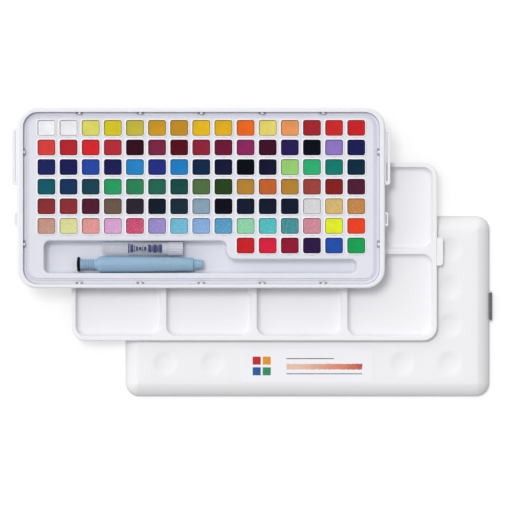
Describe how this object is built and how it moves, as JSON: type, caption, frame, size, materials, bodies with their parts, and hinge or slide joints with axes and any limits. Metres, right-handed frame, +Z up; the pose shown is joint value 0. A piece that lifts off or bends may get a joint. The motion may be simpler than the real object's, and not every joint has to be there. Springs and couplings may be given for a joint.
{
  "type": "watercolour paint set",
  "caption": "Flat white watercolour box spread in layers: tray of small pans with a water brush, mixing palette with wells, and a domed-edge lid with latch flaps.",
  "frame": {"origin": "middle of the spread set's footprint, on the surface that the lid lies on", "axes": "+X along the long sides, towards the lid; +Y across, towards the tray; +Z up"},
  "size_m": [0.404, 0.2427, 0.0385],
  "materials": {
    "tray_shell": "pale grey-white moulded plastic, satin",
    "pan_insert": "pale grey-white moulded plastic, satin",
    "pans": "white moulded plastic, satin",
    "paint": "dried paint in many colours, dull",
    "barrel": "translucent pale blue plastic, glossy",
    "plug": "black, satin",
    "collar": "pale grey plastic, satin",
    "nose": "white plastic, satin",
    "bristle": "pale filaments",
    "cap": "clear plastic, glossy",
    "palette": "white moulded plastic, glossy",
    "lid": "white moulded plastic, satin",
    "label": "printed label",
    "latch": "dark grey plastic, matt"
  },
  "bodies": {
    "lid": {"lid_shell": "lid", "lid_label": "label"},
    "palette": {"mixing_palette": "palette"},
    "tray": {"base_shell": "tray_shell", "pan_tray": "pan_insert", "pans_row_1": "pans", "paints_row_1": "paint", "pans_row_2": "pans", "paints_row_2": "paint", "pans_row_3": "pans", "paints_row_3": "paint", "pans_row_4": "pans", "paints_row_4": "paint", "pans_row_5": "pans", "paints_row_5": "paint", "pans_row_6": "pans", "paints_row_6": "paint", "pans_row_7": "pans", "paints_row_7": "paint"},
    "barrel": {"brush_barrel": "barrel"},
    "plug": {"reservoir_plug": "plug"},
    "brush_head": {"brush_collar": "collar", "brush_nose": "nose", "bristle_tip": "bristle"},
    "cap": {"brush_cap": "cap"},
    "latch_right": {"lid_clip_right": "latch"},
    "latch_left": {"lid_clip_left": "latch"}
  },
  "joints": [
    {"name": "palette_lift", "type": "slide", "parent": "lid", "child": "palette", "axis": [0, 0, 1], "range_m": [0, 0.06]},
    {"name": "tray_lift", "type": "slide", "parent": "palette", "child": "tray", "axis": [0, 0, 1], "range_m": [0, 0.06]},
    {"name": "barrel_lift", "type": "slide", "parent": "tray", "child": "barrel", "axis": [0, 0, 1], "range_m": [0, 0.03]},
    {"name": "plug_pull", "type": "slide", "parent": "barrel", "child": "plug", "axis": [-1, 0, 0], "range_m": [0, 0.009]},
    {"name": "head_lift", "type": "slide", "parent": "tray", "child": "brush_head", "axis": [0, 0, 1], "range_m": [0, 0.03]},
    {"name": "cap_pull", "type": "slide", "parent": "brush_head", "child": "cap", "axis": [-1, 0, 0], "range_m": [0, 0.038]},
    {"name": "latch_right_swing", "type": "hinge", "parent": "lid", "child": "latch_right", "pos_m": [0.20095, -0.0451, 0.0013], "axis": [0, 1, 0], "range_deg": [0, 108]},
    {"name": "latch_left_swing", "type": "hinge", "parent": "lid", "child": "latch_left", "pos_m": [-0.10935, -0.0451, 0.0013], "axis": [0, -1, 0], "range_deg": [0, 108]}
  ]
}
